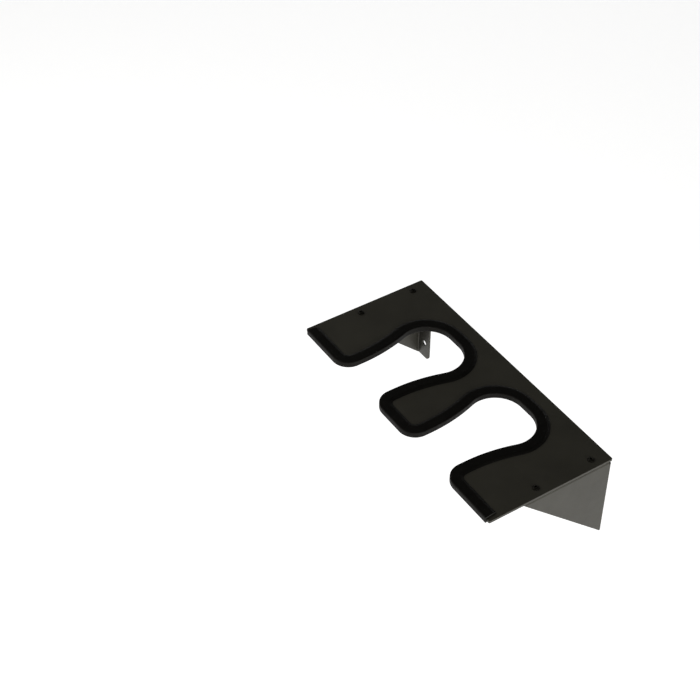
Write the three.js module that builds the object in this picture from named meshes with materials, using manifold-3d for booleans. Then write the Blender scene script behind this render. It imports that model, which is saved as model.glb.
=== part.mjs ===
// Wall rack that holds one pair of boots upside down by their ankles.
// Units are millimetres. X runs along the wall, -Y points out of the wall, +Z is up.
// The origin is on the wall plane, at mid-width, level with the top face of the plate.

import * as THREE from 'three';
import { mergeVertices } from 'three/addons/utils/BufferGeometryUtils.js';
import Module from 'manifold-3d';

const wasm = await Module();
wasm.setup();

// Sheet steel and the plate
const SHEET = 3;
const PLATE_WIDTH = 330;
const PLATE_DEPTH = 152.4;
const PLATE_CORNER_R = 1.5;

// Keyhole slots, measured to the bare steel edge
const SLOT_X = 62;
const BULB_Y = -59.6;
const BULB_SPREAD = 7.3;
const BULB_R = 32.3;
const MOUTH_HALF = 28.9;
const SHOULDER_R = 190;
const LIP_R = 18;
const WIDEST_STEP = THREE.MathUtils.degToRad(12);
const LONGEST_CHORD = 12;

// Rubber edge trim, a channel that is pushed over the slotted edge
const TRIM_END_SETBACK = 4.5;
const TRIM_END_SKEW = 0.09;
const TRIM_REACH = 12.4;
const TRIM_WEB = 1.5;
const TRIM_LEG = 2.1;
const TRIM_CORNER_R = 1;
const TRIM_CORNER_STEPS = 2;
const TRIM_LIP_START = 9;
const TRIM_LIP_EDGE = 0.4;
const TRIM_LIP_BEVEL = 0.2;
const TRIM_LIP_GRIP = 1.1;
const TRIM_PLAY = 0.1;
const TRIM_CHANNEL = 0.5;
const FIN_DISTANCES = [2.8, 5.6, 8.4];
const FIN_WIDTH = 1.3;

// Side brackets, bent from a thinner sheet
const BRACKET_SHEET = 2;
const BEND_R = 3;
const FLANGE = 22;
const FLANGE_CORNER_R = 6;
const BRACKET_REACH = 111;
const BRACKET_DROP = 105.5;
const TIP_R = 2;
const CORNER_NOTCH = 3.5;
const BACK_LEG = 6.4;

// Button head screws through plate and flanges
const SCREW_INSET = 10.5;
const SCREW_ROWS = { rear: -19.5, front: -88.5 };
const SCREW_HOLE_R = 2.25;
const SCREW_R = 1.95;
const SCREW_LENGTH = 14;
const SCREW_END_BEVEL = 0.5;
const HEAD_R = 3.8;
const HEAD_HEIGHT = 2.2;
const HEAD_RIM = 0.45;
const HEAD_FLAT_R = 1.8;
const DOME_STEPS = 4;
const HEX_KEY = 2.5;
const HEX_DEPTH = 1.3;

// Washers under the flanges
const WASHER_R = 4.5;
const WASHER_HOLE_R = 2.15;
const WASHER = 0.8;

// Lock nuts: a hexagon that carries a thin collar, crimped over a nylon ring
const NUT_FLATS = 7;
const NUT_HEX_HEIGHT = 3.3;
const NUT_HEIGHT = 5;
const NUT_BORE_R = 2.08;
const NUT_BEVEL = 0.35;
const COLLAR_R = 3.2;
const COLLAR_ROUND = 0.4;
const COLLAR_MOUTH_R = 2.4;
const RING_R = 2.7;
const RING_BORE_R = 2.05;
const RING_HEIGHT = 1.1;
const RING_TOP = 3.45;
const RING_PLAY = 0.08;

// Holes for the wall screws, in the back flanges
const WALL_HOLE_R = 3.25;
const WALL_HOLE_INSET = 12.5;
const WALL_HOLE_ROWS = [-25, -82];

const ROUND = 20;
const CUT_PAST = 1;

// Booleans between closed geometries

function toSolid(geometry) {
  const bare = geometry.clone();
  bare.deleteAttribute('normal');
  bare.deleteAttribute('uv');
  const merged = mergeVertices(bare, 1e-4);
  return new wasm.Manifold(new wasm.Mesh({
    numProp: 3,
    vertProperties: new Float32Array(merged.attributes.position.array),
    triVerts: new Uint32Array(merged.index.array),
  }));
}

function toGeometry(solid) {
  const mesh = solid.getMesh();
  const geometry = new THREE.BufferGeometry();
  geometry.setAttribute('position', new THREE.BufferAttribute(mesh.vertProperties, 3));
  geometry.setIndex(new THREE.BufferAttribute(mesh.triVerts, 1));
  geometry.computeVertexNormals();
  return geometry;
}

function cutAll(solid, cutters) {
  return cutters.reduce((left, cutter) => left.subtract(toSolid(cutter)), solid);
}

// Prisms of a flat outline, from low to high along the third axis

function prismAlongZ(shape, low, high, curveSegments = 8) {
  const settings = { depth: high - low, bevelEnabled: false, curveSegments };
  return new THREE.ExtrudeGeometry(shape, settings).translate(0, 0, low);
}

// The outline's x and y are the part's X and Z.
function prismAlongY(shape, low, high) {
  return prismAlongZ(shape, -high, -low).rotateX(Math.PI / 2);
}

// The outline's x and y are the part's Y and Z.
function prismAlongX(shape, low, high) {
  return prismAlongZ(shape, low, high).rotateX(Math.PI / 2).rotateZ(Math.PI / 2);
}

function rodAlongZ(x, y, radius, low, high, sides = ROUND) {
  const rod = new THREE.CylinderGeometry(radius, radius, high - low, sides);
  return rod.rotateX(Math.PI / 2).translate(x, y, (low + high) / 2);
}

function rodAlongY(x, z, radius, low, high) {
  const rod = new THREE.CylinderGeometry(radius, radius, high - low, ROUND);
  return rod.translate(x, (low + high) / 2, z);
}

// A profile of [radius, height] corners from the lowest to the highest, turned about the Z axis
function turned(profile) {
  const points = profile.map(([radius, height]) => new THREE.Vector2(radius, height));
  return new THREE.LatheGeometry(points, ROUND).rotateX(Math.PI / 2);
}

// The mirror image on the other side of the rack, with its faces still pointing out
function mirrored(geometry) {
  const copy = geometry.clone().scale(-1, 1, 1);
  const { array } = copy.index;
  for (let i = 0; i < array.length; i += 3) {
    [array[i], array[i + 1]] = [array[i + 1], array[i]];
  }
  copy.computeVertexNormals();
  return copy;
}

// The slotted front edge, walked from its right end to its left end with the steel on the right hand.
// A station is a point on the bare edge and the walker's heading there.

function addStation(stations, x, y, heading) {
  const last = stations.at(-1);
  if (!last || Math.hypot(last.x - x, last.y - y) > 1e-6) {
    stations.push({ x, y, heading });
  }
}

// A positive turn is to the left.
function addArc(stations, centreX, centreY, radius, fromHeading, turn) {
  const step = Math.min(WIDEST_STEP, LONGEST_CHORD / radius);
  const steps = Math.ceil(Math.abs(turn) / step);
  const side = Math.sign(turn) * radius;
  for (let i = 0; i <= steps; i += 1) {
    const heading = fromHeading + (turn * i) / steps;
    addStation(stations, centreX + side * Math.sin(heading), centreY - side * Math.cos(heading), heading);
  }
}

// One keyhole: lip, mouth wall, shoulder, the bulb's round side, and the same again on the way out
function addSlot(stations, slotX) {
  const west = Math.PI;
  const north = Math.PI / 2;
  const south = -Math.PI / 2;
  const lipX = MOUTH_HALF + LIP_R;
  const lipY = -PLATE_DEPTH + LIP_R;
  const shoulderX = MOUTH_HALF + SHOULDER_R;
  const centres = BULB_R + SHOULDER_R;
  const flare = Math.acos((shoulderX - BULB_SPREAD) / centres);
  const shoulderY = BULB_Y - centres * Math.sin(flare);
  addArc(stations, slotX + lipX, lipY, LIP_R, west, -north);
  addArc(stations, slotX + shoulderX, shoulderY, SHOULDER_R, north, -flare);
  addArc(stations, slotX + BULB_SPREAD, BULB_Y, BULB_R, north - flare, north + flare);
  addArc(stations, slotX - BULB_SPREAD, BULB_Y, BULB_R, west, north + flare);
  addArc(stations, slotX - shoulderX, shoulderY, SHOULDER_R, south + flare, -flare);
  addArc(stations, slotX - lipX, lipY, LIP_R, south, -north);
}

function slottedEdge(endX) {
  const stations = [];
  addStation(stations, endX, -PLATE_DEPTH, Math.PI);
  addSlot(stations, SLOT_X);
  addSlot(stations, -SLOT_X);
  addStation(stations, -endX, -PLATE_DEPTH, Math.PI);
  return stations;
}

// The edge as a curve whose equal steps are its stations, so that a sweep keeps every arc's ends
class EdgeCurve extends THREE.Curve {
  constructor(stations) {
    super();
    this.stations = stations;
  }

  stationAt(t) {
    return this.stations[Math.round(t * (this.stations.length - 1))];
  }

  getUtoTmapping(u) {
    return u;
  }

  getPoint(t, target = new THREE.Vector3()) {
    const { x, y } = this.stationAt(t);
    return target.set(x, y, 0);
  }

  getTangent(t, target = new THREE.Vector3()) {
    const { heading } = this.stationAt(t);
    return target.set(Math.cos(heading), Math.sin(heading), 0);
  }
}

// Plate

const screwPlaces = [];
for (const [side, sign] of Object.entries({ right: 1, left: -1 })) {
  for (const [row, y] of Object.entries(SCREW_ROWS)) {
    screwPlaces.push({ name: `${side}_${row}`, x: sign * (PLATE_WIDTH / 2 - SCREW_INSET), y });
  }
}

function topPlate() {
  const half = PLATE_WIDTH / 2;
  const r = PLATE_CORNER_R;
  const quarter = Math.PI / 2;
  const outline = new THREE.Shape();
  outline.moveTo(half - r, -PLATE_DEPTH);
  for (const { x, y } of slottedEdge(half - r)) {
    outline.lineTo(x, y);
  }
  outline.absarc(-half + r, -PLATE_DEPTH + r, r, -quarter, -2 * quarter, true);
  outline.absarc(-half + r, -r, r, 2 * quarter, quarter, true);
  outline.absarc(half - r, -r, r, quarter, 0, true);
  outline.absarc(half - r, -PLATE_DEPTH + r, r, 0, -quarter, true);
  const plate = toSolid(prismAlongZ(outline, -SHEET, 0, 3));
  const holes = screwPlaces.map(({ x, y }) => rodAlongZ(x, y, SCREW_HOLE_R, -SHEET - CUT_PAST, CUT_PAST));
  return toGeometry(cutAll(plate, holes));
}

// Trim

// Half of the channel's section as [out, up]: out of the steel edge, and up from the sheet's middle
function trimHalfSection() {
  const face = SHEET / 2;
  const top = face + TRIM_LEG;
  const inside = face + TRIM_CHANNEL;
  const touch = face + TRIM_PLAY;
  const tip = -TRIM_REACH;
  const points = [];
  for (let i = 0; i <= TRIM_CORNER_STEPS; i += 1) {
    const angle = (Math.PI / 2) * (i / TRIM_CORNER_STEPS);
    const out = TRIM_WEB - TRIM_CORNER_R * (1 - Math.cos(angle));
    points.push([out, top - TRIM_CORNER_R * (1 - Math.sin(angle))]);
  }
  points.push([-TRIM_LIP_START, top], [tip, touch + TRIM_LIP_EDGE]);
  points.push([tip + TRIM_LIP_BEVEL, touch], [tip + TRIM_LIP_GRIP, touch]);
  points.push([tip + 2 * TRIM_LIP_GRIP, inside]);
  for (const distance of FIN_DISTANCES.toReversed()) {
    const root = -distance - FIN_WIDTH / 2;
    const end = -distance + FIN_WIDTH / 2;
    points.push([root, inside], [end, touch], [end + TRIM_PLAY, inside]);
  }
  points.push([TRIM_PLAY, inside]);
  return points;
}

// Both ends are cut askew: the corner on the plate stands further back than the outer one.
function skewEnds(geometry, endX) {
  const { position } = geometry.attributes;
  for (let i = 0; i < position.count; i += 1) {
    const x = position.getX(i);
    if (Math.abs(x) > endX - 0.001) {
      const out = -PLATE_DEPTH - position.getY(i);
      position.setX(i, x + Math.sign(x) * TRIM_END_SKEW * out);
    }
  }
  return geometry;
}

function edgeTrim() {
  const half = trimHalfSection();
  const lower = half.toReversed().map(([out, up]) => [out, -up]);
  // The sweep lays an outline's x downwards and its y to the walker's left, which is out of the steel.
  const section = [...half, ...lower].map(([out, up]) => new THREE.Vector2(SHEET / 2 - up, out));
  const endX = PLATE_WIDTH / 2 - TRIM_END_SETBACK;
  const stations = slottedEdge(endX);
  const sweep = new THREE.ExtrudeGeometry(new THREE.Shape(section), {
    steps: stations.length - 1,
    extrudePath: new EdgeCurve(stations),
  });
  return skewEnds(sweep, endX);
}

// Brackets, made for the right side with the web's outer face at x = 0 and the plate's underside at z = 0

// A sheet that comes in along the top from the left and turns down with a round bend
function bentSheet(leg) {
  const quarter = Math.PI / 2;
  const shape = new THREE.Shape();
  shape.moveTo(-FLANGE, 0);
  shape.lineTo(-FLANGE, -BRACKET_SHEET);
  shape.absarc(-BEND_R, -BEND_R, BEND_R - BRACKET_SHEET, quarter, 0, true);
  shape.lineTo(-BRACKET_SHEET, -leg);
  shape.lineTo(0, -leg);
  shape.absarc(-BEND_R, -BEND_R, BEND_R, 0, quarter);
  return shape;
}

// The centre of the rounded lower tip, between the wall and the slanted edge
const tipAngle = Math.atan(BRACKET_REACH / BRACKET_DROP);
const tipZ = -BRACKET_DROP + TIP_R / Math.tan(tipAngle / 2);

// Seen from the side: a triangle against the wall and under the plate
function sideOutline() {
  const shape = new THREE.Shape();
  shape.moveTo(0, 0);
  shape.lineTo(-BRACKET_REACH, 0);
  shape.absarc(-TIP_R, tipZ, TIP_R, Math.PI + tipAngle, 2 * Math.PI);
  return shape;
}

// Seen square to a flange: its free corner is rounded, at the level where the flange ends
function flangeOutline(endLevel) {
  const r = FLANGE_CORNER_R;
  const shape = new THREE.Shape();
  shape.moveTo(0, endLevel);
  shape.lineTo(0, 0);
  shape.lineTo(-FLANGE, 0);
  shape.absarc(-FLANGE + r, endLevel + r, r, Math.PI, Math.PI * 1.5);
  return shape;
}

// The two bends end short of the corner between them, which leaves a square notch there.
function sideBracket() {
  const top = prismAlongY(bentSheet(BRACKET_DROP), -BRACKET_REACH, -CORNER_NOTCH);
  const back = prismAlongZ(bentSheet(BACK_LEG), -BRACKET_DROP, -CORNER_NOTCH);
  const blank = toSolid(top)
    .add(toSolid(back))
    .intersect(toSolid(prismAlongX(sideOutline(), -FLANGE, 0)))
    .intersect(toSolid(prismAlongZ(flangeOutline(-BRACKET_REACH), -BRACKET_DROP, 0)))
    .intersect(toSolid(prismAlongY(flangeOutline(tipZ - TIP_R), -BRACKET_REACH, 0)));
  const screwHoles = Object.values(SCREW_ROWS)
    .map((y) => rodAlongZ(-SCREW_INSET, y, SCREW_HOLE_R, -BRACKET_SHEET - CUT_PAST, CUT_PAST));
  const wallHoles = WALL_HOLE_ROWS
    .map((z) => rodAlongY(-WALL_HOLE_INSET, z, WALL_HOLE_R, -BRACKET_SHEET - CUT_PAST, CUT_PAST));
  return toGeometry(cutAll(blank, [...screwHoles, ...wallHoles]));
}

// Screws, washers and lock nuts, each made with its bearing face at z = 0

function hexagon(flats, low, high) {
  return rodAlongZ(0, 0, flats / 2 / Math.cos(Math.PI / 6), low, high, 6);
}

function buttonScrew() {
  const profile = [
    [0, -SCREW_LENGTH],
    [SCREW_R - SCREW_END_BEVEL, -SCREW_LENGTH],
    [SCREW_R, -SCREW_LENGTH + SCREW_END_BEVEL],
    [SCREW_R, 0],
    [HEAD_R, 0],
  ];
  const rise = (HEAD_R ** 2 - HEAD_FLAT_R ** 2 + HEAD_RIM ** 2 - HEAD_HEIGHT ** 2) / (2 * (HEAD_RIM - HEAD_HEIGHT));
  const domeR = Math.hypot(HEAD_R, HEAD_RIM - rise);
  const fromAngle = Math.asin((HEAD_RIM - rise) / domeR);
  const toAngle = Math.asin((HEAD_HEIGHT - rise) / domeR);
  for (let i = 0; i <= DOME_STEPS; i += 1) {
    const angle = fromAngle + (toAngle - fromAngle) * (i / DOME_STEPS);
    profile.push([domeR * Math.cos(angle), rise + domeR * Math.sin(angle)]);
  }
  profile.push([0, HEAD_HEIGHT]);
  const socket = hexagon(HEX_KEY, HEAD_HEIGHT - HEX_DEPTH, HEAD_HEIGHT + CUT_PAST);
  return toGeometry(cutAll(toSolid(turned(profile)), [socket]));
}

function washer() {
  const disc = toSolid(rodAlongZ(0, 0, WASHER_R, -WASHER, 0));
  return toGeometry(cutAll(disc, [rodAlongZ(0, 0, WASHER_HOLE_R, -WASHER - CUT_PAST, CUT_PAST)]));
}

function lockNut() {
  const corner = NUT_FLATS / 2 / Math.cos(Math.PI / 6);
  const bevelled = turned([
    [0, -NUT_HEX_HEIGHT],
    [corner - NUT_BEVEL * 2, -NUT_HEX_HEIGHT],
    [corner, -NUT_HEX_HEIGHT + NUT_BEVEL],
    [corner, -NUT_BEVEL],
    [corner - NUT_BEVEL * 2, 0],
    [0, 0],
  ]);
  const collar = turned([
    [0, -NUT_HEIGHT],
    [COLLAR_R - COLLAR_ROUND * 2, -NUT_HEIGHT],
    [COLLAR_R - COLLAR_ROUND / 2, -NUT_HEIGHT + COLLAR_ROUND / 2],
    [COLLAR_R, -NUT_HEIGHT + COLLAR_ROUND * 2],
    [COLLAR_R, -NUT_HEX_HEIGHT / 2],
    [0, -NUT_HEX_HEIGHT / 2],
  ]);
  const body = toSolid(hexagon(NUT_FLATS, -NUT_HEX_HEIGHT, 0))
    .intersect(toSolid(bevelled))
    .add(toSolid(collar));
  const pocketTop = -RING_TOP + RING_PLAY;
  const pocketFloor = -RING_TOP - RING_HEIGHT - RING_PLAY;
  return toGeometry(cutAll(body, [
    rodAlongZ(0, 0, NUT_BORE_R, -NUT_HEIGHT, CUT_PAST),
    rodAlongZ(0, 0, RING_R + RING_PLAY, pocketFloor, pocketTop),
    rodAlongZ(0, 0, COLLAR_MOUTH_R, -NUT_HEIGHT - CUT_PAST, pocketTop),
  ]));
}

function nylonRing() {
  const ring = toSolid(rodAlongZ(0, 0, RING_R, -RING_TOP - RING_HEIGHT, -RING_TOP));
  return toGeometry(cutAll(ring, [rodAlongZ(0, 0, RING_BORE_R, -NUT_HEIGHT, 0)]));
}

// Materials

function finish(color, roughness, metalness = 0) {
  return new THREE.MeshStandardMaterial({ color, roughness, metalness });
}

const COAT = () => finish(0x2b2a26, 0.5, 0.1);
const RUBBER = () => finish(0x0e0d0c, 0.75);
const BLACK_STEEL = () => finish(0x1a1918, 0.45, 0.6);
const ZINC = () => finish(0xa9abad, 0.35, 0.9);
const NYLON = () => finish(0xd9dcd8, 0.5);

// Assembly

const rack = new THREE.Group();

function place(name, geometry, material, x = 0, y = 0, z = 0) {
  const mesh = new THREE.Mesh(geometry, material);
  mesh.name = name;
  mesh.position.set(x, y, z);
  rack.add(mesh);
}

place('top_plate', topPlate(), COAT());
place('edge_trim', edgeTrim(), RUBBER());

const rightBracket = sideBracket();
place('right_bracket', rightBracket, COAT(), PLATE_WIDTH / 2, 0, -SHEET);
place('left_bracket', mirrored(rightBracket), COAT(), -PLATE_WIDTH / 2, 0, -SHEET);

const underFlange = -SHEET - BRACKET_SHEET;
for (const { name, x, y } of screwPlaces) {
  place(`screw_${name}`, buttonScrew(), BLACK_STEEL(), x, y, 0);
  place(`washer_${name}`, washer(), ZINC(), x, y, underFlange);
  place(`nut_${name}`, lockNut(), ZINC(), x, y, underFlange - WASHER);
  place(`nut_ring_${name}`, nylonRing(), NYLON(), x, y, underFlange - WASHER);
}

export default rack;
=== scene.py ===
"""Looks of a wall rack for boots: its pieces, finishes, stage, lamps and camera. Lengths are in metres."""

import math

import bmesh
import bpy
from mathutils import Matrix, Vector
from mathutils.geometry import tessellate_polygon


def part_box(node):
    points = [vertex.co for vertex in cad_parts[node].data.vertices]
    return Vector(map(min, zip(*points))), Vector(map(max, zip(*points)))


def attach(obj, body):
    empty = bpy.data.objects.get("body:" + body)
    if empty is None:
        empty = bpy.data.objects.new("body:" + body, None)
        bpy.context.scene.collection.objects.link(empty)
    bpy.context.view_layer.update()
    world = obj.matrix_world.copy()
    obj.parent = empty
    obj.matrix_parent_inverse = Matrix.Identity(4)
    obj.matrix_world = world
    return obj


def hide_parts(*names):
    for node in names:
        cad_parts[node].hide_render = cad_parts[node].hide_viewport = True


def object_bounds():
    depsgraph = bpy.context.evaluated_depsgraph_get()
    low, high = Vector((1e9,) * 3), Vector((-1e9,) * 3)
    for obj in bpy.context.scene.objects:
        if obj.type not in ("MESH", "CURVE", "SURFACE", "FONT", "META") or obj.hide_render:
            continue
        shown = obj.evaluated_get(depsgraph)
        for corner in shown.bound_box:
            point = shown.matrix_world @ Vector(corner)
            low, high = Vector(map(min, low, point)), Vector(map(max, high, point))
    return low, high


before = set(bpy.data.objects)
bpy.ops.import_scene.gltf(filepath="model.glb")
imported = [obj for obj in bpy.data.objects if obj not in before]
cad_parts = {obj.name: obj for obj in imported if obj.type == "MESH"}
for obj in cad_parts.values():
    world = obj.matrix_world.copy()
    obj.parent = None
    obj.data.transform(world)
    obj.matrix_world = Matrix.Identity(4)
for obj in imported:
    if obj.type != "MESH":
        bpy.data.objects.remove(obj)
cad_low, cad_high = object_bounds()

MM = 0.001
QUARTER = math.pi / 2

# What the frame gives
plate_low, plate_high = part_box("top_plate")
bracket_low, bracket_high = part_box("right_bracket")
SHEET = plate_high.z - plate_low.z
HALF_WIDTH = plate_high.x
DEPTH = -plate_low.y
TRIM_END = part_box("edge_trim")[1].x

# How finely curves are divided
ARC_STEP = math.radians(2.5)
LONGEST_CHORD = 3 * MM
PLATE_CORNER_STEP = math.radians(10)
HOLE_STEP = math.radians(7.5)
BRACKET_STEP = math.radians(6)
TRIM_STEP = math.radians(15)
SIDES = 48

# Places closer than this are one place
SAME_PLACE = 1e-6
CUT_TOLERANCE = 1e-7

# Faces that meet at more than these angles are shaded with a sharp edge
SHEET_SHARP_DOT = math.cos(math.radians(50))
TRIM_SHARP = math.radians(40)
FASTENER_SHARP = math.radians(35)

# Plate and its keyhole slots, measured to the bare steel edge
PLATE_CORNER_R = 1.5 * MM
SLOT_X = 62 * MM
BULB_Y = -59.6 * MM
BULB_SPREAD = 7.3 * MM
BULB_R = 32.3 * MM
MOUTH_HALF = 28.9 * MM
SHOULDER_R = 190 * MM
LIP_R = 18 * MM

# Rounded cut edges of the coated sheet, and a strip of the flat face beside them
EDGE_ROUND = 0.35 * MM
EDGE_STEPS = 4
RIM_STRIP = 0.8 * MM

# Rubber edge trim, a channel whose web covers the cut edge and whose legs end in sloping lips
TRIM_END_SKEW = 0.09
TRIM_CUT_RIM = 0.4 * MM
TRIM_REACH = 12.4 * MM
TRIM_WEB = 1.5 * MM
TRIM_LEG = 2.1 * MM
TRIM_CORNER_R = 1 * MM
TRIM_LIP_START = 9 * MM
TRIM_LIP_ROUND = 0.9 * MM
LIP_ROUND_STEPS = 6
TRIM_LIP_EDGE = 0.4 * MM
TRIM_LIP_BEVEL = 0.2 * MM
TRIM_LIP_GRIP = 1.1 * MM
TRIM_PLAY = 0.1 * MM
TRIM_CHANNEL = 0.5 * MM
TRIM_FLAT_STRIP = 0.3 * MM

# Grip fins inside the trim, by their distance in from the steel edge
FIN_DISTANCES = [2.8 * MM, 5.6 * MM, 8.4 * MM]
FIN_WIDTH = 1.3 * MM
FIN_NOSE = 0.15 * MM
FIN_NOSE_RISE = 0.08 * MM
FIN_BACK_RISE = 0.12 * MM
FIN_BACK_LEAN = 0.1 * MM

# Side brackets, whose front edge slopes down over BRACKET_REACH by BRACKET_DROP
BRACKET_SHEET = 2 * MM
BEND_R = 3 * MM
BEND_STEPS = 8
FLANGE = bracket_high.x - bracket_low.x
FLANGE_CORNER_R = 6 * MM
BRACKET_REACH = -bracket_low.y
BRACKET_DROP = 105.5 * MM
FRONT_SLOPE = BRACKET_REACH / BRACKET_DROP
TIP_R = 2 * MM
TIP_Z = bracket_low.z - plate_low.z + TIP_R
TIP_ANGLE = math.atan(FRONT_SLOPE)
CORNER_NOTCH = 3.5 * MM

# Places on the bracket's flat sheet, where a bend takes up more length than it reaches
BEND_LENGTH = BEND_R * QUARTER
FLANGE_START = BEND_LENGTH - BEND_R
FLANGE_RIM = FLANGE_START + FLANGE - BEND_R

# Screw places and holes
SCREW_INSET = 10.5 * MM
SCREW_ROWS = {"rear": -19.5 * MM, "front": -88.5 * MM}
SCREW_PLACES = [
    (side + "_" + row, sign * (HALF_WIDTH - SCREW_INSET), y)
    for side, sign in (("right", 1), ("left", -1))
    for row, y in SCREW_ROWS.items()
]
SCREW_HOLE_R = 2.25 * MM
WALL_HOLE_R = 3.25 * MM
WALL_HOLE_INSET = 12.5 * MM
WALL_HOLE_ROWS = [-25 * MM, -82 * MM]

# Button head screws
SCREW_R = 1.95 * MM
SCREW_LENGTH = 14 * MM
SCREW_END_BEVEL = 0.5 * MM
THREAD_PITCH = 0.7 * MM
THREAD_DEPTH = 0.38 * MM
THREAD_LENGTH = 7 * MM
THREAD_RINGS = 10
THREAD_STEEPNESS = 2.6
HEAD_R = 3.8 * MM
HEAD_HEIGHT = 2.2 * MM
HEAD_RIM = 0.45 * MM
HEAD_RIM_ROUND = 0.12 * MM
HEAD_FLAT_R = 1.8 * MM
DOME_START = math.radians(2)
DOME_STEPS = 10
HEX_KEY = 2.5 * MM
HEX_DEPTH = 1.3 * MM
HEX_BEVEL = 0.12 * MM
HEX_CONE_SLOPE = 0.3

# How far each screw is turned, in degrees
FIRST_TURN = 23
NEXT_TURN = 71

# Washers, lock nuts and their nylon rings
WASHER_R = 4.5 * MM
WASHER_HOLE_R = 2.15 * MM
WASHER = 0.8 * MM
WASHER_ROUND = 0.12 * MM
NUT_FLATS = 7 * MM
NUT_HEX_HEIGHT = 3.3 * MM
NUT_HEIGHT = 5 * MM
NUT_BORE_R = 2.08 * MM
NUT_BORE_BEVEL = 0.3 * MM
NUT_FACE_SHARE = 0.97
NUT_FACE_R = NUT_FLATS / 2 * NUT_FACE_SHARE
NUT_BEVEL_SLOPE = 0.5
COLLAR_R = 3.2 * MM
COLLAR_FILLET = 0.15 * MM
COLLAR_ROUND = 0.7 * MM
COLLAR_STEPS = 6
COLLAR_LIP = 0.1 * MM
COLLAR_LIP_RISE = 0.02 * MM
COLLAR_MOUTH_R = 2.4 * MM
COLLAR_MOUTH_BEVEL = 0.15 * MM
RING_R = 2.7 * MM
RING_BORE_R = 2.05 * MM
RING_HEIGHT = 1.1 * MM
RING_TOP = 3.45 * MM
RING_ROUND = 0.18 * MM
RING_PLAY = 0.08 * MM

# How worn an edge is, from 0 to 1
FULL_WEAR = 1
SCREW_RIM_WEAR = 0.4
DOME_EDGE_WEAR = 0.6
NUT_FACE_WEAR = 0.5

# Tones of the finishes: two for the body of each, and others for specks, worn edges and painted edge
# highlights
COAT_TONES = (0.0167, 0.0157, 0.0108), (0.0204, 0.0192, 0.0133)
COAT_SPECK = (0.0285, 0.0269, 0.0195)
# Paler coat on the edges, partly rubbed thin and partly a painted highlight along the rounded edges
COAT_WORN_AND_HIGHLIGHT = (0.050, 0.047, 0.038)
RUBBER_TONES = (0.0012, 0.0011, 0.0008), (0.0028, 0.0026, 0.0020)
# Painted highlight on the trim's cut ends
RUBBER_CUT_HIGHLIGHT = (0.040, 0.039, 0.035)
BLACK_TONES = (0.0028, 0.0025, 0.0018), (0.0052, 0.0048, 0.0036)
BLACK_WORN = (0.034, 0.032, 0.026)
ZINC_TONES = (0.36, 0.38, 0.40), (0.50, 0.51, 0.52)
ZINC_WORN = (0.62, 0.63, 0.64)
NYLON_TONES = (0.66, 0.68, 0.64), (0.52, 0.54, 0.50)
STAGE_TONE = (0.82, 0.82, 0.81, 1)
WHITE = (1, 1, 1, 1)

# Tints of what the finishes reflect
COAT_TINT = (0.98, 0.94, 0.86, 1)
BLACK_TINT = (1.0, 0.95, 0.86, 1)

# Stage, a round floor that turns up into a low backdrop
FLOOR_Z = -1.2
FLOOR_R = 2.0
BACKDROP_R = 5.0
BACKDROP_BEND = 1.5
BACKDROP_STEPS = 12
BACKDROP_TOP = 0.9
STAGE_GLOW = 0.75
WORLD_STRENGTH = 0.08

# Camera, where the photograph was taken from, with angles in degrees and the lens in millimetres
CAMERA_PLACE = Vector((0.8970, -0.7838, 1.0890))
CAMERA_AZIMUTH = 57.07
CAMERA_ELEVATION = 42.22
CAMERA_LENS = 78.17
CAMERA_SENSOR = 36


# Meshes

def start_mesh():
    """An empty mesh whose vertices hold how worn they are and how much painted highlight they get."""
    bm = bmesh.new()
    bm.verts.layers.float.new("wear_and_highlight")
    return bm


def add_ring(bm, places, wear_and_highlight=0):
    """One vertex at each place, all with the same wear and painted highlight."""
    wear_and_highlight_layer = bm.verts.layers.float["wear_and_highlight"]
    ring = [bm.verts.new(place) for place in places]
    for vert in ring:
        vert[wear_and_highlight_layer] = wear_and_highlight
    return ring


def join_rings(bm, rings):
    """Faces from each ring to the next, all the way round."""
    for before, after in zip(rings, rings[1:]):
        for i in range(len(before)):
            bm.faces.new((before[i - 1], before[i], after[i], after[i - 1]))


def close_ends(bm, loops, first, last):
    """Two flat ends in the shape of the loops, on the vertices first and last. Gives their faces."""
    faces = []
    for triangle in tessellate_polygon(loops):
        faces.append(bm.faces.new([first[i] for i in triangle]))
        faces.append(bm.faces.new([last[i] for i in reversed(triangle)]))
    return faces


def finish_piece(name, bm, stands_for, slot):
    """A shown piece made of bm, on the rack's only body, in place of the CAD node it stands for."""
    mesh = bpy.data.meshes.new(name)
    bmesh.ops.recalc_face_normals(bm, faces=bm.faces)
    if bm.calc_volume(signed=True) < 0:
        bmesh.ops.reverse_faces(bm, faces=bm.faces)
    bm.to_mesh(mesh)
    bm.free()
    mesh.shade_smooth()
    piece = bpy.data.objects.new(name, mesh)
    bpy.context.scene.collection.objects.link(piece)
    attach(piece, "root")
    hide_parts(stands_for)
    piece.data.materials.append(MATERIALS[slot])
    return piece


def weigh_normals_by_area(mesh):
    """Flat faces stay flat in the shading, the rounded edges between them turn, and corners stay sharp."""
    faces_at = [[] for _ in mesh.vertices]
    for face in mesh.polygons:
        for index in face.vertices:
            faces_at[index].append((face.normal.copy(), face.area))
    normals = [None] * len(mesh.loops)
    for face in mesh.polygons:
        for corner, index in zip(face.loop_indices, face.vertices):
            weighed = Vector()
            for normal, area in faces_at[index]:
                if normal.dot(face.normal) > SHEET_SHARP_DOT:
                    weighed += normal * area
            normals[corner] = weighed.normalized()
    mesh.normals_split_custom_set(normals)


def arc(centre_x, centre_y, radius, start, turn, step=ARC_STEP):
    """Points of an arc, both ends included. A positive turn is counterclockwise."""
    count = max(2, math.ceil(abs(turn) / step))
    angles = [start + turn * i / count for i in range(count + 1)]
    return [(centre_x + radius * math.cos(a), centre_y + radius * math.sin(a)) for a in angles]


def without_repeats(points):
    """The points without those that lie on the one before. Only the first two numbers of each count."""
    kept = []
    for point in points:
        if not kept or math.dist(kept[-1][:2], point[:2]) > SAME_PLACE:
            kept.append(point)
    return kept


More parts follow.
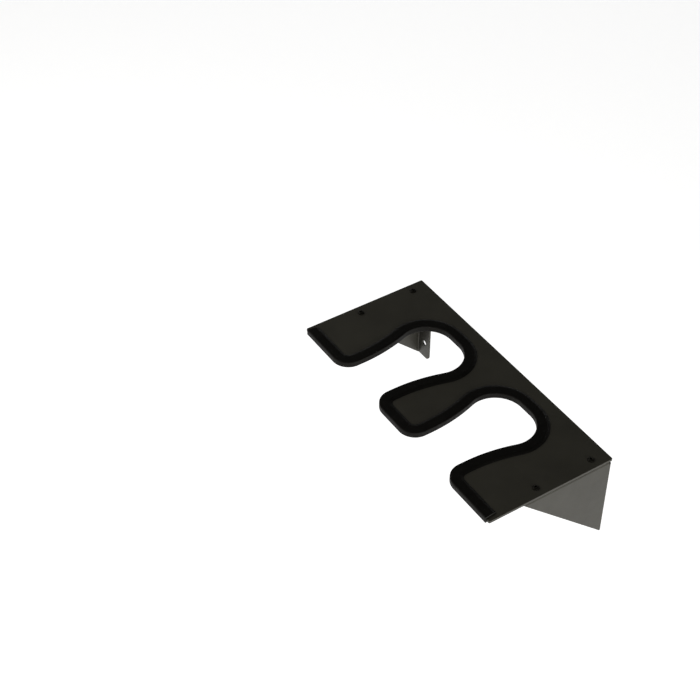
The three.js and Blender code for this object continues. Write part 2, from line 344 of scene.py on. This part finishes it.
def clean_loop(points):
    """The closed loop without points that repeat their neighbour."""
    kept = without_repeats(points)
    if math.dist(kept[0], kept[-1]) < SAME_PLACE:
        kept.pop()
    return kept


def inset_loop(loop, distance):
    """The closed loop moved to its left by distance, with mitred corners."""
    moved = []
    for i, (x, y) in enumerate(loop):
        before = Vector((x, y)) - Vector(loop[i - 1])
        after = Vector(loop[(i + 1) % len(loop)]) - Vector((x, y))
        left_before = Vector((-before.y, before.x)).normalized()
        left_after = Vector((-after.y, after.x)).normalized()
        mitre = (left_before + left_after) / (1 + left_before.dot(left_after))
        moved.append((x + mitre.x * distance, y + mitre.y * distance))
    return moved


def rim_rings(thickness):
    """(inset, depth, wear and painted highlight) of the rings from one face over the rounded cut edge to
    the other face.
    """
    rings = [(EDGE_ROUND + RIM_STRIP, 0, 0)]
    for i in range(EDGE_STEPS + 1):
        angle = QUARTER * i / EDGE_STEPS
        inset = EDGE_ROUND * (1 - math.sin(angle))
        depth = EDGE_ROUND * (1 - math.cos(angle))
        # Palest halfway round the rounded edge: coat rubbed thin, and a painted highlight
        rings.append((inset, depth, math.sin(2 * angle)))
    return rings + [(inset, thickness - depth, wear_and_highlight) for inset, depth, wear_and_highlight in reversed(rings)]


def sheet_mesh(loops, thickness, fold, bend_lines=()):
    """A closed sheet, drawn flat and then folded. The first loop is its outline, counterclockwise,
    and the others are holes, clockwise. Depth grows from the outer face. bend_lines are pairs of an
    axis and a level at which the flat faces are divided before they're folded."""
    bm = start_mesh()
    flat_rim = []
    first, last = [], []
    for loop in loops:
        rings = []
        for inset, depth, wear_and_highlight in rim_rings(thickness):
            rings.append(add_ring(bm, [(x, y, -depth) for x, y in inset_loop(loop, inset)], wear_and_highlight))
        join_rings(bm, rings)
        flat_rim.append([Vector((vert.co.x, vert.co.y, 0)) for vert in rings[0]])
        first += rings[0]
        last += rings[-1]
    flats = set(close_ends(bm, flat_rim, first, last))
    inner = [edge for edge in bm.edges if flats.issuperset(edge.link_faces)]
    bmesh.ops.beautify_fill(bm, faces=[face for face in bm.faces if face in flats], edges=inner)
    for axis, level in bend_lines:
        place = Vector((level, 0, 0)) if axis == "x" else Vector((0, level, 0))
        normal = (1, 0, 0) if axis == "x" else (0, 1, 0)
        geometry = bm.verts[:] + bm.edges[:] + bm.faces[:]
        bmesh.ops.bisect_plane(bm, geom=geometry, dist=CUT_TOLERANCE, plane_co=place, plane_no=normal)
    for vert in bm.verts:
        vert.co = fold(vert.co.x, vert.co.y, -vert.co.z)
    return bm


def hexagon_radius(apothem):
    """A function that gives a hexagon's radius at each angle. The middle of a side is at angle 0."""
    half_side = math.pi / 6

    def radius(angle):
        return apothem / math.cos((angle + half_side) % (2 * half_side) - half_side)
    return radius


def turned_mesh(rings, closed=False):
    """A piece turned about Z. Each ring is (radius, height, wear), and radius and height may be functions
    of the angle. A radius of 0 ends the piece in a point, and closed joins the last ring to the first."""
    bm = start_mesh()
    made = []
    for radius, height, wear_and_highlight in rings:
        places = []
        for i in range(1 if radius == 0 else SIDES):
            angle = 2 * math.pi * i / SIDES
            r = radius(angle) if callable(radius) else radius
            z = height(angle) if callable(height) else height
            places.append((r * math.cos(angle), r * math.sin(angle), z))
        made.append(add_ring(bm, places, wear_and_highlight))
    pairs = list(zip(made, made[1:])) + ([(made[-1], made[0])] if closed else [])
    for lower, upper in pairs:
        for i in range(SIDES):
            below = lower if len(lower) == 1 else [lower[i - 1], lower[i]]
            above = upper if len(upper) == 1 else [upper[i], upper[i - 1]]
            bm.faces.new(below + above)
    return bm


# Finishes

class Finish:
    """A material, with short ways to wire its nodes. What they take and give are nodes' outputs."""

    def __init__(self, name):
        self.material = bpy.data.materials.new(name)
        self.material.use_nodes = True
        self.nodes = self.material.node_tree.nodes
        self.links = self.material.node_tree.links
        self.shader = self.nodes["Principled BSDF"]

    def fix(self, socket, value):
        """A value that is the same all over the surface."""
        self.shader.inputs[socket].default_value = value

    def wire(self, socket, output):
        """A value that changes over the surface."""
        self.links.new(output, self.shader.inputs[socket])

    def noise(self, scale, detail=2.0, roughness=0.5, stretch=None):
        """A noise of that scale per metre, in the piece's own coordinates."""
        coordinates = self.nodes.new("ShaderNodeTexCoord").outputs["Object"]
        if stretch:
            mapping = self.nodes.new("ShaderNodeMapping")
            mapping.inputs["Scale"].default_value = stretch
            self.links.new(coordinates, mapping.inputs["Vector"])
            coordinates = mapping.outputs["Vector"]
        texture = self.nodes.new("ShaderNodeTexNoise")
        texture.inputs["Scale"].default_value = scale
        texture.inputs["Detail"].default_value = detail
        texture.inputs["Roughness"].default_value = roughness
        self.links.new(coordinates, texture.inputs["Vector"])
        return texture.outputs["Fac"]

    def spread(self, value, low, high, to_low=0.0, to_high=1.0):
        """value, from low to high, spread over to_low to to_high and held there."""
        node = self.nodes.new("ShaderNodeMapRange")
        ends = {"From Min": low, "From Max": high, "To Min": to_low, "To Max": to_high}
        for socket, number in ends.items():
            node.inputs[socket].default_value = number
        self.links.new(value, node.inputs["Value"])
        return node.outputs["Result"]

    def combine(self, operation, first, second):
        node = self.nodes.new("ShaderNodeMath")
        node.operation = operation
        self.links.new(first, node.inputs[0])
        self.links.new(second, node.inputs[1])
        return node.outputs["Value"]

    def mix(self, share, first, second):
        """first where share is 0 and second where it is 1. Each is a colour or a node's output."""
        node = self.nodes.new("ShaderNodeMix")
        node.data_type = "RGBA"
        self.links.new(share, node.inputs["Factor"])
        for name, colour in (("A", first), ("B", second)):
            target = next(socket for socket in node.inputs if socket.name == name and socket.type == "RGBA")
            if isinstance(colour, tuple):
                target.default_value = (*colour, 1)
            else:
                self.links.new(colour, target)
        return next(socket for socket in node.outputs if socket.type == "RGBA")

    def bump(self, height, strength, distance, normal=None):
        node = self.nodes.new("ShaderNodeBump")
        node.inputs["Strength"].default_value = strength
        node.inputs["Distance"].default_value = distance
        self.links.new(height, node.inputs["Height"])
        if normal:
            self.links.new(normal, node.inputs["Normal"])
        return node.outputs["Normal"]

    def worn_and_highlit_edges(self, scale, low, high):
        """1 on edges where the finish is rubbed and on edges with a painted highlight, in patches of a
        noise, and 0 elsewhere.
        """
        attribute = self.nodes.new("ShaderNodeAttribute")
        attribute.attribute_name = "wear_and_highlight"
        patches = self.spread(self.noise(scale, detail=4), low, high)
        return self.combine("MULTIPLY", attribute.outputs["Fac"], patches)


def powder_coat():
    """Satin charcoal coat with a fine orange peel, thinner and paler on its edges, where a highlight is
    also painted.
    """
    coat = Finish("powder_coat")
    clouds = coat.spread(coat.noise(scale=22, detail=3), 0.3, 0.7)
    colour = coat.mix(clouds, *COAT_TONES)
    specks = coat.spread(coat.noise(scale=2600), 0.35, 0.75)
    colour = coat.mix(coat.combine("MULTIPLY", specks, clouds), colour, COAT_SPECK)
    # Paler edges in patches: rubbed coat and a painted highlight
    colour = coat.mix(coat.worn_and_highlit_edges(scale=160, low=0.45, high=0.7), colour, COAT_WORN_AND_HIGHLIGHT)
    coat.wire("Base Color", colour)
    coat.fix("Specular Tint", COAT_TINT)
    coat.wire("Roughness", coat.spread(coat.noise(scale=60, detail=4), 0.3, 0.7, 0.43, 0.48))
    peel = coat.bump(coat.noise(scale=700, detail=1), strength=0.35, distance=0.05 * MM)
    grain = coat.bump(coat.noise(scale=2600), strength=0.35, distance=0.02 * MM, normal=peel)
    coat.wire("Normal", grain)
    return coat.material


def trim_rubber():
    """Matt black rubber with a fine moulded grain and a little dust, with a painted highlight on its cut
    ends.
    """
    rubber = Finish("trim_rubber")
    rubber.fix("Specular IOR Level", 0.12)
    rubber.fix("Specular Tint", BLACK_TINT)
    dust = rubber.spread(rubber.noise(scale=90, detail=5, roughness=0.65), 0.45, 0.8)
    colour = rubber.mix(dust, *RUBBER_TONES)
    # Painted highlight on the cut ends, brightest along the outer face of each leg
    colour = rubber.mix(rubber.worn_and_highlit_edges(scale=300, low=0.1, high=0.5), colour, RUBBER_CUT_HIGHLIGHT)
    rubber.wire("Base Color", colour)
    rubber.wire("Roughness", rubber.spread(rubber.noise(scale=150, detail=3), 0.3, 0.7, 0.50, 0.62))
    grain = rubber.noise(scale=1900, detail=3, roughness=0.6)
    rubber.wire("Normal", rubber.bump(grain, strength=0.5, distance=0.05 * MM))
    return rubber.material


def black_steel():
    """Black oxide, rubbed paler on the edges of the head and of the key's socket."""
    oxide = Finish("black_steel")
    oxide.fix("Specular IOR Level", 0.05)
    oxide.fix("Specular Tint", BLACK_TINT)
    blotches = oxide.spread(oxide.noise(scale=700, detail=4), 0.35, 0.7)
    colour = oxide.mix(blotches, *BLACK_TONES)
    colour = oxide.mix(oxide.worn_and_highlit_edges(scale=900, low=0.42, high=0.62), colour, BLACK_WORN)
    oxide.wire("Base Color", colour)
    oxide.wire("Roughness", oxide.spread(blotches, 0, 1, 0.42, 0.56))
    grain = oxide.noise(scale=4200, detail=3)
    oxide.wire("Normal", oxide.bump(grain, strength=0.4, distance=0.02 * MM))
    return oxide.material


def zinc_steel():
    """Bright zinc plate, a little cloudy, with the marks of the tool that turned it."""
    zinc = Finish("zinc_steel")
    zinc.fix("Metallic", 1.0)
    clouds = zinc.spread(zinc.noise(scale=420, detail=4), 0.3, 0.72)
    colour = zinc.mix(clouds, *ZINC_TONES)
    colour = zinc.mix(zinc.worn_and_highlit_edges(scale=800, low=0.3, high=0.6), colour, ZINC_WORN)
    zinc.wire("Base Color", colour)
    zinc.wire("Roughness", zinc.spread(clouds, 0, 1, 0.24, 0.42))
    tool_marks = zinc.noise(scale=300, detail=3, roughness=0.6, stretch=(1, 1, 14))
    zinc.wire("Normal", zinc.bump(tool_marks, strength=0.3, distance=0.02 * MM))
    return zinc.material


def nylon():
    """Off-white nylon of a lock nut's ring."""
    plastic = Finish("nylon")
    stain = plastic.spread(plastic.noise(scale=600, detail=4), 0.35, 0.75)
    plastic.wire("Base Color", plastic.mix(stain, *NYLON_TONES))
    plastic.wire("Roughness", plastic.spread(stain, 0, 1, 0.42, 0.56))
    plastic.wire("Normal", plastic.bump(plastic.noise(scale=2400), strength=0.3, distance=0.02 * MM))
    return plastic.material


MATERIALS = {
    "powder_coat": powder_coat(),
    "trim_rubber": trim_rubber(),
    "black_steel": black_steel(),
    "zinc_steel": zinc_steel(),
    "nylon": nylon(),
}


# The slotted front edge, walked from its right end to its left end with the steel on the right hand

def edge_arc(centre_x, centre_y, radius, heading, turn):
    """Stations (x, y, heading) of an arc. A positive turn is to the left."""
    side = math.copysign(radius, turn)
    count = math.ceil(abs(turn) / min(ARC_STEP, LONGEST_CHORD / radius))
    stations = []
    for i in range(count + 1):
        h = heading + turn * i / count
        stations.append((centre_x + side * math.sin(h), centre_y - side * math.cos(h), h))
    return stations


def slot_stations(slot_x):
    """One keyhole: lip, mouth wall, shoulder, the bulb's round side, and the same again on the way out."""
    west, north, south = math.pi, QUARTER, -QUARTER
    lip_x = MOUTH_HALF + LIP_R
    lip_y = -DEPTH + LIP_R
    shoulder_x = MOUTH_HALF + SHOULDER_R
    centres = BULB_R + SHOULDER_R
    flare = math.acos((shoulder_x - BULB_SPREAD) / centres)
    shoulder_y = BULB_Y - centres * math.sin(flare)
    return [
        *edge_arc(slot_x + lip_x, lip_y, LIP_R, west, -QUARTER),
        *edge_arc(slot_x + shoulder_x, shoulder_y, SHOULDER_R, north, -flare),
        *edge_arc(slot_x + BULB_SPREAD, BULB_Y, BULB_R, north - flare, north + flare),
        *edge_arc(slot_x - BULB_SPREAD, BULB_Y, BULB_R, west, north + flare),
        *edge_arc(slot_x - shoulder_x, shoulder_y, SHOULDER_R, south + flare, -flare),
        *edge_arc(slot_x - lip_x, lip_y, LIP_R, south, -QUARTER),
    ]


def slotted_edge(end_x):
    """Stations (x, y, heading) of the whole edge, from end_x to -end_x."""
    slots = [*slot_stations(SLOT_X), *slot_stations(-SLOT_X)]
    return without_repeats([(end_x, -DEPTH, math.pi), *slots, (-end_x, -DEPTH, math.pi)])


# Plate

def hole(x, y, radius):
    """A round hole, clockwise."""
    return clean_loop(arc(x, y, radius, 0, -2 * math.pi, HOLE_STEP))


def lay_flat(x, y, depth):
    """The fold of a sheet that has no bends, level with the top of the plate."""
    return Vector((x, y, plate_high.z - depth))


def build_plate():
    r = PLATE_CORNER_R
    outline = [(x, y) for x, y, _ in reversed(slotted_edge(HALF_WIDTH - r))]
    corners = (
        (HALF_WIDTH - r, -DEPTH + r, -QUARTER),
        (HALF_WIDTH - r, -r, 0),
        (-HALF_WIDTH + r, -r, QUARTER),
        (-HALF_WIDTH + r, -DEPTH + r, math.pi),
    )
    for x, y, start in corners:
        outline += arc(x, y, r, start, QUARTER, PLATE_CORNER_STEP)
    holes = [hole(x, y, SCREW_HOLE_R) for _, x, y in SCREW_PLACES]
    bm = sheet_mesh([clean_loop(outline), *holes], SHEET, lay_flat)
    piece = finish_piece("plate_coated", bm, "top_plate", "powder_coat")
    weigh_normals_by_area(piece.data)


# Trim

def fin_points(distance, inside, touch):
    """One grip fin inside the channel: a ramp down to the sheet, a blunt nose and a steep back."""
    root = -distance - FIN_WIDTH / 2
    end = -distance + FIN_WIDTH / 2
    return [
        (root, inside),
        (end - FIN_NOSE, touch + FIN_NOSE_RISE),
        (end, touch),
        (end + FIN_BACK_LEAN, touch + FIN_BACK_RISE),
        (end + FIN_BACK_LEAN, inside),
    ]


def trim_half_section():
    """Half of the channel's section as (out, up): out of the steel edge, and up from the sheet's middle."""
    face = SHEET / 2
    top = face + TRIM_LEG
    tip = -TRIM_REACH
    touch = face + TRIM_PLAY
    inside = face + TRIM_CHANNEL
    r = TRIM_CORNER_R
    fall = (top - touch - TRIM_LIP_EDGE) / (TRIM_REACH - TRIM_LIP_START)
    points = [(TRIM_WEB, 0), (TRIM_WEB, top - r - TRIM_FLAT_STRIP)]
    points += arc(TRIM_WEB - r, top - r, r, 0, QUARTER, TRIM_STEP)
    points.append((TRIM_WEB - r - TRIM_FLAT_STRIP, top))
    points.append((-TRIM_LIP_START + TRIM_LIP_ROUND + TRIM_FLAT_STRIP, top))
    for i in range(LIP_ROUND_STEPS + 1):
        share = i / LIP_ROUND_STEPS
        drop = fall * TRIM_LIP_ROUND * share ** 2
        points.append((-TRIM_LIP_START + TRIM_LIP_ROUND * (1 - 2 * share), top - drop))
    points += [
        (tip + TRIM_FLAT_STRIP, touch + TRIM_LIP_EDGE + fall * TRIM_FLAT_STRIP),
        (tip, touch + TRIM_LIP_EDGE / 2),
        (tip + TRIM_LIP_BEVEL, touch),
        (tip + TRIM_LIP_GRIP, touch),
        (tip + 2 * TRIM_LIP_GRIP, inside),
    ]
    for distance in reversed(FIN_DISTANCES):
        points += fin_points(distance, inside, touch)
    return points + [(TRIM_PLAY, inside), (TRIM_PLAY, 0)]


def build_trim():
    """The section swept along the slotted edge. Both cut ends, two stations each, are a little askew."""
    half = trim_half_section()
    section = clean_loop([*half, *[(out, -up) for out, up in reversed(half)]])
    middle = plate_high.z - SHEET / 2
    end_x = TRIM_END - TRIM_END_SKEW * TRIM_WEB
    stations = slotted_edge(end_x)
    stations.insert(1, (end_x - TRIM_CUT_RIM, -DEPTH, math.pi))
    stations.insert(-1, (TRIM_CUT_RIM - end_x, -DEPTH, math.pi))
    askew = (0, 1, len(stations) - 2, len(stations) - 1)
    bm = start_mesh()
    rings = []
    for number, (x, y, heading) in enumerate(stations):
        out_x = -math.sin(heading)
        out_y = math.cos(heading)
        if number in askew:
            out_x += math.copysign(TRIM_END_SKEW, x)
        rings.append(add_ring(bm, [(x + out * out_x, y + out * out_y, middle + up) for out, up in section]))
    join_rings(bm, rings)
    wear_and_highlight_layer = bm.verts.layers.float["wear_and_highlight"]
    # Painted highlight on both cut ends, from none at the sheet to full at the outer face of each leg
    for ring in (rings[0], rings[-1]):
        for vert, (_, up) in zip(ring, section):
            vert[wear_and_highlight_layer] = max(0, (abs(up) - SHEET / 2) / TRIM_LEG)
    close_ends(bm, [[Vector((out, up, 0)) for out, up in section]], rings[0], rings[-1])
    piece = finish_piece("trim_rubber_channel", bm, "edge_trim", "trim_rubber")
    piece.data.set_sharp_from_angle(angle=TRIM_SHARP)


# Brackets

def unrolled(level):
    """Where a level of the finished bracket lies on the flat sheet, bends rolled out."""
    if level <= -BEND_R:
        return level
    return -BEND_R + BEND_R * math.asin(min(1, (level + BEND_R) / BEND_R))


def bent(level, depth):
    """(distance in from the web's outer face, level) of a place on the sheet, across a bend."""
    if level <= -BEND_R:
        return depth, level
    if level >= FLANGE_START:
        return BEND_R + level - FLANGE_START, -depth
    angle = (level + BEND_R) / BEND_R
    r = BEND_R - depth
    return BEND_R - r * math.cos(angle), -BEND_R + r * math.sin(angle)


def bracket_outline():
    """The flat sheet before it is bent: the web, the top flange above it and the back flange behind it."""
    r = FLANGE_CORNER_R
    bottom = TIP_Z - TIP_R
    tip = arc(-TIP_R, TIP_Z, TIP_R, math.pi + TIP_ANGLE, QUARTER - TIP_ANGLE, BRACKET_STEP)
    front = []
    for i in range(BEND_STEPS + 1):
        z = -BEND_R * (1 - math.sin(QUARTER * i / BEND_STEPS))
        front.append((-BRACKET_REACH - z * FRONT_SLOPE, unrolled(z)))
    points = [(unrolled(y), z) for y, z in tip]
    points += arc(FLANGE_RIM - r, bottom + r, r, -QUARTER, QUARTER, BRACKET_STEP)
    points += [(FLANGE_RIM, -CORNER_NOTCH), (-CORNER_NOTCH, -CORNER_NOTCH), (-CORNER_NOTCH, FLANGE_RIM)]
    points += arc(-BRACKET_REACH + r, FLANGE_RIM - r, r, QUARTER, QUARTER, BRACKET_STEP)
    points += reversed(front)
    return clean_loop(points)


def bracket_fold(side):
    """Folds the flat sheet into the right bracket, or mirrored into the left one."""
    def fold(u, v, depth):
        if v > -BEND_R:
            inwards, z = bent(v, depth)
            y = u
        else:
            inwards, y = bent(u, depth)
            z = v
        return Vector((side * (HALF_WIDTH - inwards), y, plate_low.z + z))
    return fold


def build_bracket(name, side):
    bends = [i * BEND_LENGTH / BEND_STEPS - BEND_R for i in range(BEND_STEPS + 1)]
    bend_lines = [(axis, level) for axis in "xy" for level in bends]
    holes = [hole(y, FLANGE_START + SCREW_INSET - BEND_R, SCREW_HOLE_R) for y in SCREW_ROWS.values()]
    holes += [hole(FLANGE_START + WALL_HOLE_INSET - BEND_R, z, WALL_HOLE_R) for z in WALL_HOLE_ROWS]
    bm = sheet_mesh([bracket_outline(), *holes], BRACKET_SHEET, bracket_fold(side), bend_lines)
    piece = finish_piece(name + "_coated", bm, name, "powder_coat")
    weigh_normals_by_area(piece.data)


# Fasteners, each made with its bearing face at z = 0

def thread_radius(z):
    """The shank's radius at each angle on level z, where a screw thread winds round it."""
    def radius(angle):
        phase = (z / THREAD_PITCH - angle / (2 * math.pi)) % 1
        flank = min(1, THREAD_STEEPNESS * min(phase, 1 - phase))
        return SCREW_R - THREAD_DEPTH * (1 - flank)
    return radius


def dome_rings():
    """Rings of the button head's dome, from just above its rim to the flat round the socket."""
    squares = HEAD_R ** 2 - HEAD_FLAT_R ** 2 + HEAD_RIM ** 2 - HEAD_HEIGHT ** 2
    centre = squares / (2 * (HEAD_RIM - HEAD_HEIGHT))
    dome_r = math.hypot(HEAD_R, HEAD_RIM - centre)
    low = math.asin((HEAD_RIM - centre) / dome_r) + DOME_START
    high = math.asin((HEAD_HEIGHT - centre) / dome_r)
    rings = []
    for i in range(DOME_STEPS + 1):
        angle = low + (high - low) * i / DOME_STEPS
        wear_and_highlight = DOME_EDGE_WEAR if i == DOME_STEPS else 0
        rings.append((dome_r * math.cos(angle), centre + dome_r * math.sin(angle), wear_and_highlight))
    return rings


def screw_mesh():
    """From the end of the shank up its thread to the head, over the dome and down into the socket."""
    end = -SCREW_LENGTH
    core = SCREW_R - THREAD_DEPTH
    rings = [(0, end, 0), (core - SCREW_END_BEVEL / 2, end, 0), (core, end + SCREW_END_BEVEL / 2, 0)]
    count = round(THREAD_LENGTH / THREAD_PITCH * THREAD_RINGS)
    for i in range(count + 1):
        z = end + SCREW_END_BEVEL + (THREAD_LENGTH - SCREW_END_BEVEL) * i / count
        rings.append((thread_radius(z), z, 0))
    rings += [
        (SCREW_R, end + THREAD_LENGTH + THREAD_PITCH, 0),
        (SCREW_R, 0, 0),
        (HEAD_R - HEAD_RIM_ROUND, 0, 0),
        (HEAD_R, HEAD_RIM_ROUND, SCREW_RIM_WEAR),
        (HEAD_R, HEAD_RIM - HEAD_RIM_ROUND, SCREW_RIM_WEAR),
    ]
    rings += dome_rings()
    apothem = HEX_KEY / 2
    floor = HEAD_HEIGHT - HEX_DEPTH
    rings += [
        (hexagon_radius(apothem + HEX_BEVEL), HEAD_HEIGHT, FULL_WEAR),
        (hexagon_radius(apothem), HEAD_HEIGHT - HEX_BEVEL, FULL_WEAR),
        (hexagon_radius(apothem), floor, 0),
        (0, floor - apothem * HEX_CONE_SLOPE, 0),
    ]
    return turned_mesh(rings)


def flat_ring_mesh(bore_r, outer_r, top, thickness, rounding, wear_and_highlight):
    """A flat ring with bevelled edges, from top down."""
    bottom = top - thickness
    profile = (
        (bore_r, top - rounding), (bore_r + rounding, top),
        (outer_r - rounding, top), (outer_r, top - rounding),
        (outer_r, bottom + rounding), (outer_r - rounding, bottom),
        (bore_r + rounding, bottom), (bore_r, bottom + rounding),
    )
    return turned_mesh([(radius, z, wear_and_highlight) for radius, z in profile], closed=True)


def washer_mesh():
    return flat_ring_mesh(WASHER_HOLE_R, WASHER_R, 0, WASHER, WASHER_ROUND, FULL_WEAR)


def nylon_ring_mesh():
    return flat_ring_mesh(RING_BORE_R, RING_R, -RING_TOP, RING_HEIGHT, RING_ROUND, 0)


def nut_mesh():
    """A hexagon whose corners are turned off at both ends, with a collar crimped over a nylon ring."""
    hexagon = hexagon_radius(NUT_FLATS / 2)

    def upper_rim(angle):
        return -(hexagon(angle) - NUT_FACE_R) * NUT_BEVEL_SLOPE

    def lower_rim(angle):
        return -NUT_HEX_HEIGHT - upper_rim(angle)

    pocket_r = RING_R + RING_PLAY
    pocket_top = -RING_TOP + RING_PLAY
    pocket_floor = -RING_TOP - RING_HEIGHT - RING_PLAY
    rings = [
        (NUT_BORE_R, -NUT_BORE_BEVEL, FULL_WEAR),
        (NUT_BORE_R + NUT_BORE_BEVEL, 0, FULL_WEAR),
        (NUT_FACE_R, 0, NUT_FACE_WEAR),
        (hexagon, upper_rim, FULL_WEAR),
        (hexagon, lower_rim, FULL_WEAR),
        (NUT_FACE_R, -NUT_HEX_HEIGHT, NUT_FACE_WEAR),
        (COLLAR_R + COLLAR_FILLET, -NUT_HEX_HEIGHT, 0),
        (COLLAR_R, -NUT_HEX_HEIGHT - COLLAR_FILLET, 0),
    ]
    for i in range(COLLAR_STEPS + 1):
        angle = QUARTER * i / COLLAR_STEPS
        radius = COLLAR_R - COLLAR_ROUND * (1 - math.cos(angle))
        rings.append((radius, -NUT_HEIGHT + COLLAR_ROUND * (1 - math.sin(angle)), NUT_FACE_WEAR))
    rings += [
        (COLLAR_MOUTH_R + COLLAR_LIP, -NUT_HEIGHT + COLLAR_LIP_RISE, FULL_WEAR),
        (COLLAR_MOUTH_R, -NUT_HEIGHT + COLLAR_MOUTH_BEVEL, FULL_WEAR),
        (COLLAR_MOUTH_R, pocket_floor, 0),
        (pocket_r, pocket_floor, 0),
        (pocket_r, pocket_top, 0),
        (NUT_BORE_R, pocket_top, 0),
    ]
    return turned_mesh(rings, closed=True)


def build_fasteners():
    under_flange = plate_low.z - BRACKET_SHEET
    kinds = (
        ("screw", screw_mesh, plate_high.z, "black_steel"),
        ("washer", washer_mesh, under_flange, "zinc_steel"),
        ("nut", nut_mesh, under_flange - WASHER, "zinc_steel"),
        ("nut_ring", nylon_ring_mesh, under_flange - WASHER, "nylon"),
    )
    for number, (place, x, y) in enumerate(SCREW_PLACES):
        for kind, make, z, slot in kinds:
            bm = make()
            turn = math.radians(FIRST_TURN + NEXT_TURN * number) if kind == "screw" else 0
            bmesh.ops.transform(bm, matrix=Matrix.Rotation(turn, 4, "Z"), verts=bm.verts)
            bmesh.ops.transform(bm, matrix=Matrix.Translation((x, y, z)), verts=bm.verts)
            node = kind + "_" + place
            piece = finish_piece(node + "_shown", bm, node, slot)
            piece.data.set_sharp_from_angle(angle=FASTENER_SHARP)


# Stage, lamps and camera

def stage_material():
    """A pale matt floor that looks white to the camera and in reflections, and still takes shadows."""
    pale = Finish("stage")
    pale.fix("Base Color", STAGE_TONE)
    pale.fix("Roughness", 0.9)
    pale.fix("Specular IOR Level", 0.0)
    pale.fix("Emission Color", WHITE)
    path = pale.nodes.new("ShaderNodeLightPath")
    seen = path.outputs["Is Camera Ray"]
    for ray in ("Is Glossy Ray", "Is Transmission Ray"):
        seen = pale.combine("MAXIMUM", seen, path.outputs[ray])
    pale.wire("Emission Strength", pale.spread(seen, 0, 1, 0, STAGE_GLOW))
    return pale.material


def build_stage():
    rings = [(0, FLOOR_Z, 0), (FLOOR_R, FLOOR_Z, 0)]
    for i in range(BACKDROP_STEPS + 1):
        angle = QUARTER * i / BACKDROP_STEPS
        out = BACKDROP_R - BACKDROP_BEND * (1 - math.sin(angle))
        rings.append((out, FLOOR_Z + BACKDROP_BEND * (1 - math.cos(angle)), 0))
    rings.append((BACKDROP_R, BACKDROP_TOP, 0))
    bm = turned_mesh(rings)
    mesh = bpy.data.meshes.new("floor")
    bm.to_mesh(mesh)
    bm.free()
    mesh.shade_smooth()
    mesh.materials.append(stage_material())
    floor = bpy.data.objects.new("floor", mesh)
    bpy.context.scene.collection.objects.link(floor)


def outward(azimuth, elevation):
    """The direction away from the rack at those degrees. Azimuth 0 is in front of it, 90 on its right."""
    a = math.radians(azimuth)
    e = math.radians(elevation)
    return Vector((math.sin(a) * math.cos(e), -math.cos(a) * math.cos(e), math.sin(e)))


def add_softbox(name, azimuth, elevation, distance, size, power):
    """A square soft lamp aimed at the rack."""
    towards = outward(azimuth, elevation)
    lamp = bpy.data.lights.new(name, "AREA")
    lamp.shape = "SQUARE"
    lamp.size = size
    lamp.energy = power
    softbox = bpy.data.objects.new(name, lamp)
    softbox.location = (cad_low + cad_high) / 2 + towards * distance
    softbox.rotation_euler = towards.to_track_quat("Z", "Y").to_euler()
    bpy.context.scene.collection.objects.link(softbox)


def build_light():
    world = bpy.data.worlds.new("studio")
    world.use_nodes = True
    background = world.node_tree.nodes["Background"]
    background.inputs["Color"].default_value = WHITE
    background.inputs["Strength"].default_value = WORLD_STRENGTH
    bpy.context.scene.world = world
    add_softbox("key", azimuth=-30, elevation=36, distance=2.4, size=1.6, power=28)
    add_softbox("side", azimuth=88, elevation=6, distance=2.4, size=1.4, power=47)
    add_softbox("fill", azimuth=-60, elevation=35, distance=2.6, size=1.8, power=14)
    bpy.context.scene.view_settings.view_transform = "Standard"


def build_camera():
    data = bpy.data.cameras.new("camera")
    data.sensor_width = CAMERA_SENSOR
    data.lens = CAMERA_LENS
    camera = bpy.data.objects.new("camera", data)
    camera.location = CAMERA_PLACE
    camera.rotation_euler = outward(CAMERA_AZIMUTH, CAMERA_ELEVATION).to_track_quat("Z", "Y").to_euler()
    bpy.context.scene.collection.objects.link(camera)
    bpy.context.scene.camera = camera


build_plate()
build_trim()
build_bracket("right_bracket", 1)
build_bracket("left_bracket", -1)
build_fasteners()
build_stage()
build_light()
build_camera()

bpy.context.view_layer.update()
